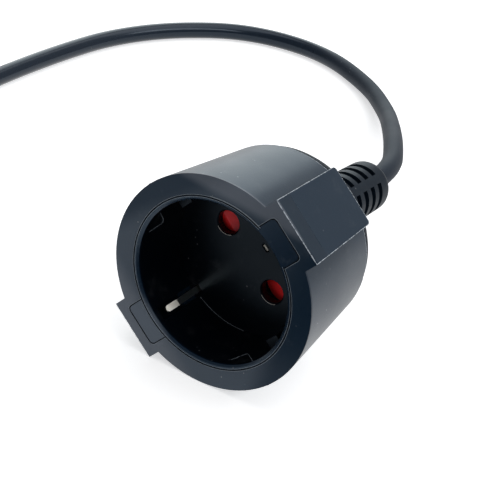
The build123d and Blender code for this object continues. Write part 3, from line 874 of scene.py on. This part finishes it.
class ADAPTER_OT_mouldings(bpy.types.Operator):
    """Finish the socket's housing and its insert."""

    bl_idname = "adapter.mouldings"
    bl_label = "Socket mouldings"

    def execute(self, context):
        """Give the two mouldings their plastics."""
        look = context.scene.adapter_moulding
        soft_color = tuple(look.soft_color)
        hard_color = tuple(look.hard_color)
        face_sheen_color = tuple(look.face_sheen_color)
        # Painted shade: a darker colour over the strain relief and the back behind the drum
        shaded_back = (back_shade_mask, darker(soft_color, RELIEF_SHADE_SHARE))
        band = (lug_band_mask, darker(soft_color, BAND_SHARE))
        # Painted sheen: paler sides of the mouth's face, by the lower lug and round the upper part of the
        # seam
        low_lug = (face_mask(*LOW_LUG_SIDE), face_sheen_color)
        sheen_arc = (face_mask(*SHEEN_SIDE), face_sheen_color)
        # Painted shade inside the well: a darker colour and less reflection behind its rim
        well = (well_mask, tuple(look.well_shade_color))
        # Painted sheen on the face of the insert's lower tongue
        low_tongue = (face_mask(*LOW_TONGUE_SIDE), face_sheen_color)
        socket = moulded_plastic(
            "socket_moulding",
            soft_color,
            look.soft_roughness,
            look.grain,
            specks=0.8,
            rub=0.1,
            specular=0.64,
            zones=(shaded_back, band, low_lug, sheen_arc),
            dull_zones=((back_shade_mask, 0.15),),
            # Painted shade: less reflection on the back and the relief, and on two sides of the mouth's face
            faint_zones=(
                (back_shade_mask, 0.3),
                (face_mask(*SHADED_SIDE), 0.4),
                (face_mask(*DARKEST_SIDE), 0.42),
            ),
        )
        insert = moulded_plastic(
            "insert_moulding",
            hard_color,
            look.hard_roughness,
            look.grain * 0.7,
            tint=(0.6, 0.8, 1.0),
            zones=(well, low_tongue),
            dull_zones=((well_mask, 0.1),),
            faint_zones=((well_mask, 0.16),),
        )
        dress("socket_housing", socket)
        dress("socket_insert", insert)
        plug = moulded_plastic("plug_moulding", soft_color, look.soft_roughness, look.grain)
        dress("plug_housing", plug)
        carrier = moulded_plastic("carrier_moulding", hard_color, look.hard_roughness, look.grain)
        dress("plug_blade_carrier", carrier)
        return {"FINISHED"}


class ADAPTER_OT_back(bpy.types.Operator):
    """Round out the socket's back, between the drum and the strain relief."""

    bl_idname = "adapter.back"
    bl_label = "Rounded back"

    def execute(self, context):
        """Turn a thin skin over the domed back."""
        look = context.scene.adapter_moulding
        skin = turned_shell("rounded_back", BACK_SKIN_OUTSIDE, BACK_SKIN_INSIDE)
        # Painted shade: the back skin is darker and reflects less, as it faces away from the light
        back_skin_shade = darker(look.soft_color, BACK_SKIN_SHADE_SHARE)
        back = moulded_plastic("shaded_back_moulding", back_skin_shade, 0.6, look.grain, specular=0.22)
        skin.data.materials.append(back)
        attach(skin, "cable")
        return {"FINISHED"}


class ADAPTER_OT_flash(bpy.types.Operator):
    """Add the thin flash that the mould leaves along the lugs' edges, the drum's back and the parting, pale
    partly as its own colour and partly as a painted highlight.
    """

    bl_idname = "adapter.flash"
    bl_label = "Mould flash"

    def execute(self, context):
        """Grow one bead of flash along each parting edge."""
        look = context.scene.adapter_moulding
        # The pale beads are partly flash and partly a painted highlight along the edges
        flash = moulded_plastic("flash", tuple(look.flash_highlight_color), 0.55, look.grain, specks=0.0, rub=0.3)
        soft = moulded_plastic("flash_nub", tuple(look.soft_color), look.soft_roughness, look.grain)
        tree = flash_tree()
        lugs = [lug_edge(1, UPPER_LUG_HALF), lug_edge(-1, LOWER_LUG_HALF)]
        grow("lug_flash", lugs, "housing", tree, radius=look.flash_radius, material=flash)
        parting = [ring_path(*DRUM_EDGE_RING), self.drum_side(1), self.drum_side(-1)]
        thin = look.flash_radius * 0.6
        grow("parting_flash", parting, "housing", tree, radius=thin, material=flash, seed=8)
        nubs = [self.nub(side, up) for side, up in NUB_PLACES]
        grow("flash_nubs", nubs, "housing", tree, radius=0.42 * MM, unevenness=0.1, material=soft)
        # A faint step across the lug's top, where its darker band ends
        step = [[socket_point(across, LUG_TOP - 0.02, depth) for across, depth in LUG_STEP_ENDS]]
        grow("lug_step", step, "housing", tree, radius=0.07 * MM, unevenness=0.5, material=soft)
        return {"FINISHED"}

    def drum_side(self, side):
        """The parting along one side of the drum, just under its surface."""
        start = MOUTH_RADIUS - PARTING_INSET
        return [
            socket_point(side * (start - BODY_TAPER * share), 0, 0.2 + BODY_LENGTH * share)
            for share in (0.0, 0.5, 0.98)
        ]

    def nub(self, side, up):
        """The short path of a nub of flash on the mouth's outer edge."""
        return [socket_point(side * (MOUTH_RADIUS - NUB_INSET), up, depth) for depth in (0.2, 0.5, 0.8)]


class ADAPTER_OT_rims(bpy.types.Operator):
    """Add pale rims beside the insert's seam and along fine edges inside the well as painted highlights, and
    a dark bead of painted shadow in the seam.
    """

    bl_idname = "adapter.rims"
    bl_label = "Rims and fine edges"

    def execute(self, context):
        """Grow a narrow rounded bead along each edge: the pale ones paint the highlight that the edge
        catches, the dark one paints the seam's shadow.
        """
        look = context.scene.adapter_moulding
        radius = look.rim_radius
        highlight = moulded_plastic("painted_rim_highlight", tuple(look.rim_color), 0.4, look.grain, specks=0.0, rub=0.3)
        dark = moulded_plastic(
            "seam_shadow", tuple(look.well_shade_color), 0.7, look.grain, specks=0.0, rub=0.0, specular=0.1
        )
        pale = moulded_plastic("painted_glint", tuple(look.glint_color), 0.45, look.grain, specks=0.0, rub=0.2)
        tree = flash_tree()

        # Painted highlights: pale rims on both sides of the seam and round the tongues
        rims = [ring_path(*ring) for ring in SEAM_RIM_RINGS]
        rims += [tongue_path(side, TONGUE_RIM_HALF) for side in (1, -1)]
        grow("seam_rim_highlights", rims, "housing", tree, radius=radius * 0.7, unevenness=0.3, material=highlight)
        # A dark bead of painted shadow along the seam's gap
        gap = [ring_path(*SEAM_GAP_RING), tongue_path(1, TONGUE_GAP_HALF), tongue_path(-1, TONGUE_GAP_HALF)]
        grow("seam_gap", gap, "insert", tree, radius=0.13 * MM, unevenness=0.2, material=dark)
        # Painted highlight: a brighter arc of rim where the seam's edge catches the most light
        bright = [ring_path(*SEAM_HIGHLIGHT_RING)]
        grow("seam_highlight", bright, "housing", tree, radius=radius * 1.5, unevenness=0.3, material=highlight, seed=6)

        # Painted highlights along the well floor's corner and the edges of the wall's keys
        edges = [ring_path(*FLOOR_EDGE_RING), wall_path(WALL_KEY_LEFT), wall_path(WALL_KEY_RIGHT)]
        grow("well_edge_highlights", edges, "insert", tree, radius=radius, unevenness=0.5, material=highlight, seed=7)
        # Painted highlights on the lower rims of the pin holes
        holes = [ring_path(*HOLE_RIM_RING, across) for across in PIN_PLACES]
        grow("hole_rim_glints", holes, "insert", tree, radius=radius, unevenness=0.4, material=pale, seed=9)
        # A painted glint on the earth tab's edge, in its slot
        tab = [[socket_point(across, TAB_PLACE, 17.0) for across in (-0.75, -0.2, 0.35)]]
        grow("tab_glint", tab, "nickel", tree, radius=0.34 * MM, unevenness=0.2, material=pale, seed=4)
        return {"FINISHED"}


class ADAPTER_OT_shutter(bpy.types.Operator):
    """Finish the safety shutter and its return spring."""

    bl_idname = "adapter.shutter"
    bl_label = "Safety shutter"

    def execute(self, context):
        """Give the shutter its red plastic and the spring its steel."""
        look = context.scene.adapter_shutter
        red = moulded_plastic("red_shutter", tuple(look.red), look.roughness, 0.2 * MM, specks=0.3, rub=0.1)
        dress("safety_shutter", red)
        dress("shutter_spring", drawn_metal("spring_wire", tuple(look.steel), 0.3))
        # The coil is anchored in the carrier, and its leg turns with the shutter, so the real spring twists
        # between them; this copy rides on neither
        spring = plain_object("return_spring", nodes["shutter_spring"].data.copy())
        merge_corners(spring.data)
        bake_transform(spring)
        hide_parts("shutter_spring")
        return {"FINISHED"}


class ADAPTER_OT_contacts(bpy.types.Operator):
    """Finish the contacts, their carrier and the cores."""

    bl_idname = "adapter.contacts"
    bl_label = "Contacts and cores"

    def execute(self, context):
        """Give each metal piece and each core its finish."""
        look = context.scene.adapter_metal
        brass = drawn_metal("contact_brass", tuple(look.brass), 0.3)
        nickel = drawn_metal("nickel_plate", tuple(look.nickel), 0.3, 0.12 * MM, 0.0006 * MM)
        for name in ("live_contact", "neutral_contact"):
            dress(name, brass)
        for name in ("earth_strap", "plug_live_blade", "plug_neutral_blade", "plug_earth_blade"):
            dress(name, nickel)
        dress("contact_carrier", moulded_plastic("grey_carrier", tuple(look.carrier), 0.45, 0.15 * MM))
        live = moulded_plastic("brown_insulation", tuple(look.live), 0.42, 0.3 * MM, specks=0.0)
        neutral = moulded_plastic("blue_insulation", tuple(look.neutral), 0.42, 0.3 * MM, specks=0.0)
        earth = striped_insulation("earth_insulation", tuple(look.earth_green), tuple(look.earth_yellow))
        for prefix in ("", "plug_"):
            dress(prefix + "live_core", live)
            dress(prefix + "neutral_core", neutral)
            dress(prefix + "earth_core", earth)
        return {"FINISHED"}


class ADAPTER_OT_stage(bpy.types.Operator):
    """Set the white floor, the studio's light and the camera."""

    bl_idname = "adapter.stage"
    bl_label = "Stage"

    def execute(self, context):
        """Make the floor, the lamps, the surround and the camera."""
        look = context.scene.adapter_studio
        self.make_floor(look)
        self.make_light("key_light", look.key_power)
        self.make_light("window_light", look.window_power, look.window_color)
        self.make_light("side_light", look.side_power)
        self.make_surround(context, look)
        self.make_camera(context, look)
        return {"FINISHED"}

    def make_floor(self, look):
        """A wide white floor that keeps the object's shadow."""
        mesh = bpy.data.meshes.new("floor")
        corners = [(-1, -1), (1, -1), (1, 1), (-1, 1)]
        points = [(x * FLOOR_REACH, y * FLOOR_REACH, -FLOOR_DROP * MM) for x, y in corners]
        mesh.from_pydata(points, [], [(0, 1, 2, 3)])
        floor = plain_object("floor", mesh)
        material, tree, shader, place = new_material("floor_paper", tuple(look.floor), 0.85, specular=0.1)
        rays = tree.nodes.new("ShaderNodeLightPath").outputs
        # Where reflections alone find less light: the photographer's own shade, and the paper's far end
        beside = axis_ramp(tree, place, "X", *FLOOR_SHADE_ACROSS)
        behind_it = axis_ramp(tree, place, "Y", *FLOOR_SHADE_ENDS)
        shade = math_node(tree, "MULTIPLY", beside, math_node(tree, "SUBTRACT", 1.0, behind_it))
        far = math_node(tree, "MULTIPLY", axis_ramp(tree, place, "X", *FLOOR_FAR_ACROSS), FLOOR_FAR_DEPTH)
        shade = math_node(tree, "MAXIMUM", math_node(tree, "MULTIPLY", shade, FLOOR_SHADE_DEPTH), far)
        mirrored = math_node(tree, "MAXIMUM", rays["Is Glossy Ray"], rays["Is Transmission Ray"])
        unlit = (0.0, 0.0, 0.0)
        tree.links.new(mix_color(tree, mirrored, tuple(look.floor), unlit), shader.inputs["Base Color"])
        reflected = math_node(tree, "MULTIPLY", mirrored, math_node(tree, "SUBTRACT", 1.0, shade))
        seen = math_node(tree, "MULTIPLY", rays["Is Camera Ray"], look.floor_glow)
        shader.inputs["Emission Color"].default_value = (1.0, 1.0, 1.0, 1.0)
        tree.links.new(math_node(tree, "MAXIMUM", seen, reflected), shader.inputs["Emission Strength"])
        floor.data.materials.append(material)

    def make_light(self, name, power, color=(1.0, 1.0, 1.0)):
        """A flat lamp that faces a point, from the table of lamps."""
        place, target, width, height = LAMPS[name]
        lamp = bpy.data.lights.new(name, "AREA")
        lamp.shape = "RECTANGLE"
        lamp.size = width
        lamp.size_y = height
        lamp.energy = power
        lamp.color = color
        piece = bpy.data.objects.new(name, lamp)
        piece.location = place
        piece.rotation_euler = (Vector(target) - Vector(place)).to_track_quat("-Z", "Y").to_euler()
        bpy.context.scene.collection.objects.link(piece)

    def make_surround(self, context, look):
        """White walls all round, plain white where the camera sees them."""
        world = bpy.data.worlds.new("studio")
        context.scene.world = world
        world.use_nodes = True
        tree = world.node_tree
        background = tree.nodes["Background"]
        background.inputs["Color"].default_value = (1.0, 1.0, 1.0, 1.0)
        seen = tree.nodes.new("ShaderNodeLightPath").outputs["Is Camera Ray"]
        split = tree.nodes.new("ShaderNodeSeparateXYZ")
        tree.links.new(tree.nodes.new("ShaderNodeTexCoord").outputs["Generated"], split.inputs[0])
        behind = ramp_node(tree, split.outputs["Y"], *WALL_TURN)
        wall = math_node(tree, "MULTIPLY", behind, look.back_wall - look.front_wall)
        wall = math_node(tree, "ADD", wall, look.front_wall)
        tree.links.new(math_node(tree, "MAXIMUM", seen, wall), background.inputs["Strength"])

    def make_camera(self, context, look):
        """The photograph's camera, with its place, its turn and its lens."""
        down, forward = Vector(CAMERA_DOWN), Vector(CAMERA_FORWARD)
        turn = Matrix((CAMERA_RIGHT, -down, -forward)).transposed().to_4x4()
        camera = bpy.data.cameras.new("camera")
        camera.lens = look.lens
        camera.sensor_fit = "HORIZONTAL"
        camera.sensor_width = 36.0
        camera.clip_start = 0.01
        piece = bpy.data.objects.new("camera", camera)
        piece.matrix_world = Matrix.Translation(Vector(CAMERA_PLACE) * MM) @ turn
        context.scene.collection.objects.link(piece)
        context.scene.camera = piece


class ADAPTER_PT_panel(bpy.types.Panel):
    """The sidebar's list of looks and steps."""

    bl_label = "Adapter Cable"
    bl_idname = "ADAPTER_PT_panel"
    bl_space_type = "VIEW_3D"
    bl_region_type = "UI"
    bl_category = "Adapter Cable"

    def draw(self, context):
        """List each step and its looks."""
        for step in STEPS:
            self.layout.operator(step.bl_idname)
        for name, group in LOOKS.items():
            box = self.layout.box()
            for key in group.__annotations__:
                box.prop(getattr(context.scene, name), key)


STEPS = (
    ADAPTER_OT_flex,
    ADAPTER_OT_mouldings,
    ADAPTER_OT_back,
    ADAPTER_OT_flash,
    ADAPTER_OT_rims,
    ADAPTER_OT_shutter,
    ADAPTER_OT_contacts,
    ADAPTER_OT_stage,
)


def register():
    """Register the looks, the steps and the panel."""
    for name, group in LOOKS.items():
        bpy.utils.register_class(group)
        setattr(bpy.types.Scene, name, bpy.props.PointerProperty(type=group))
    for step in STEPS:
        bpy.utils.register_class(step)
    bpy.utils.register_class(ADAPTER_PT_panel)


def unregister():
    """Remove everything that register added."""
    bpy.utils.unregister_class(ADAPTER_PT_panel)
    for step in reversed(STEPS):
        bpy.utils.unregister_class(step)
    for name, group in reversed(LOOKS.items()):
        delattr(bpy.types.Scene, name)
        bpy.utils.unregister_class(group)


def main():
    """Run each step in order."""
    register()
    bpy.context.scene.view_settings.view_transform = "Standard"
    for step in STEPS:
        group, _, name = step.bl_idname.partition(".")
        getattr(getattr(bpy.ops, group), name)()


if __name__ == "__main__":
    main()
